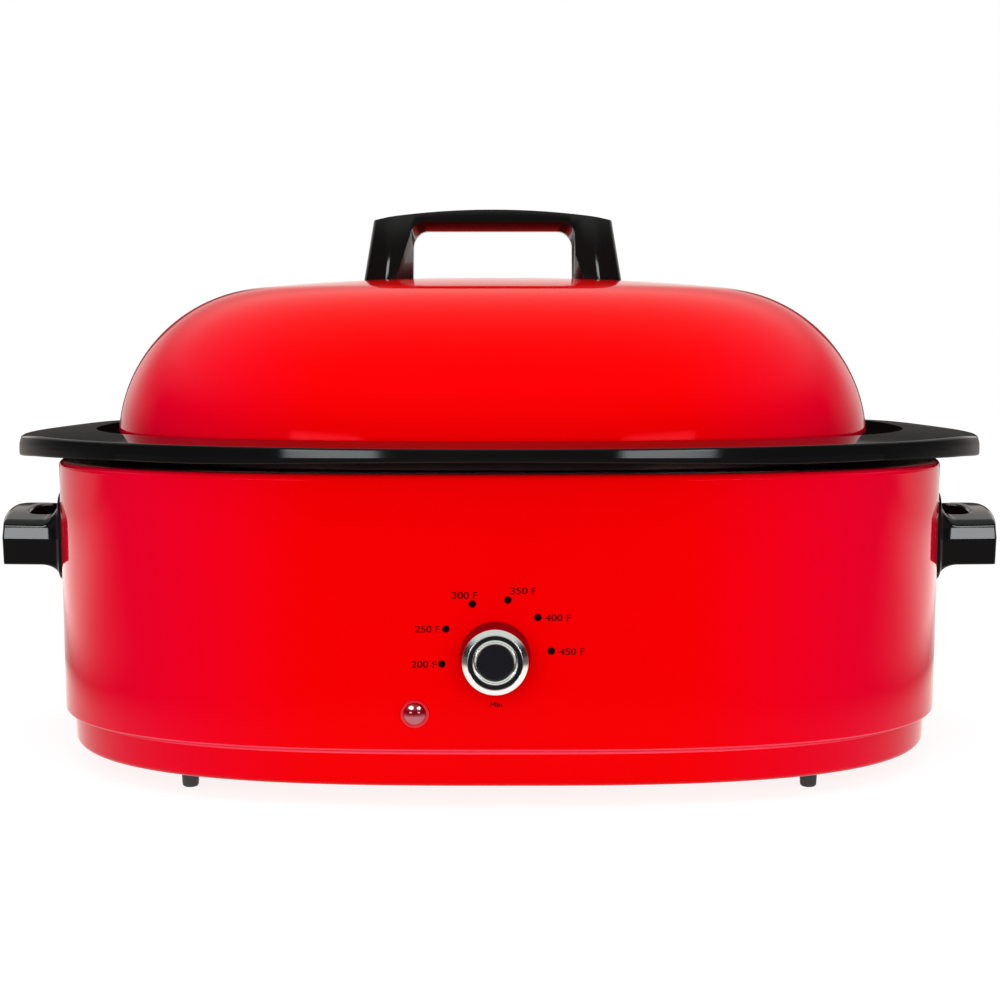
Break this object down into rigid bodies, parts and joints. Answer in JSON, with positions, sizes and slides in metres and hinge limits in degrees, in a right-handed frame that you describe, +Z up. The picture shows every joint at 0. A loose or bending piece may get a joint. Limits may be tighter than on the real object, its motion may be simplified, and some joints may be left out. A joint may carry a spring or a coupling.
{
  "type": "electric roaster oven",
  "caption": "Oval countertop roaster oven: enamelled cookwell with a wide flange, domed lift-off lid, side handles and a front dial.",
  "frame": {"origin": "centre of the footprint, on the surface the feet stand on", "axes": "+Z up, +X towards the right-hand side handle as seen from the front, -Y towards the dial"},
  "size_m": [0.5784, 0.422, 0.3053],
  "materials": {
    "red_paint": "high gloss red enamel paint",
    "black_enamel": "gloss black enamel",
    "grey_steel": "plain aluminised sheet",
    "steel": "zinc plated",
    "plated_wire": "bright plated wire",
    "bright_trim": "bright satin",
    "brass": "plain",
    "heater_foil": "foil covered mica band",
    "wool": "mineral wool",
    "rubber": "matt",
    "black_plastic": "satin moulded phenolic",
    "gloss_black": "gloss",
    "red_lens": "translucent red",
    "lamp_glass": "clear",
    "ceramic": "unglazed",
    "wire_cover": "silicone cover"
  },
  "bodies": {
    "base": {"body_shell": "red_paint", "base_pan": "red_paint", "heat_well": "grey_steel", "rubber_feet": "rubber", "well_studs": "steel", "stud_nuts": "steel", "heater_band": "heater_foil", "heater_clamp_screw": "steel", "side_insulation": "wool", "floor_insulation": "wool", "thermostat_bracket": "steel", "thermostat_body": "ceramic", "thermostat_bush": "brass", "bush_nut": "steel", "sensing_blade": "brass", "indicator_lens": "red_lens", "neon_lamp": "lamp_glass", "lens_clip": "steel", "cord_gland": "black_plastic", "terminal_block": "ceramic", "earth_screw": "steel", "supply_leads": "wire_cover", "heater_lead": "wire_cover", "side_handle_right": "black_plastic", "side_handle_left": "black_plastic", "handle_plates": "steel", "handle_screws": "steel"},
    "cookwell": {"cookwell": "black_enamel"},
    "lid": {"lid_shell": "red_paint", "lid_handle": "black_plastic", "lid_handle_washers": "steel", "lid_handle_screws": "steel"},
    "rack": {"rack_frame": "plated_wire", "rack_wires": "plated_wire"},
    "knob": {"thermostat_shaft": "steel", "knob_skirt": "bright_trim", "knob_black_ring": "gloss_black", "knob_inner_ring": "bright_trim", "knob_cap": "gloss_black"}
  },
  "joints": [
    {"name": "cookwell_lift", "type": "slide", "parent": "base", "child": "cookwell", "axis": [0, 0, 1], "range_m": [0, 0.18]},
    {"name": "lid_lift", "type": "slide", "parent": "cookwell", "child": "lid", "axis": [0, 0, 1], "range_m": [0, 0.15]},
    {"name": "rack_lift", "type": "slide", "parent": "cookwell", "child": "rack", "axis": [0, 0, 1], "range_m": [0, 0.14]},
    {"name": "knob_turn", "type": "hinge", "parent": "base", "child": "knob", "pos_m": [-0.002, -0.2, 0.076], "axis": [0, 1, 0], "range_deg": [0, 265]}
  ]
}
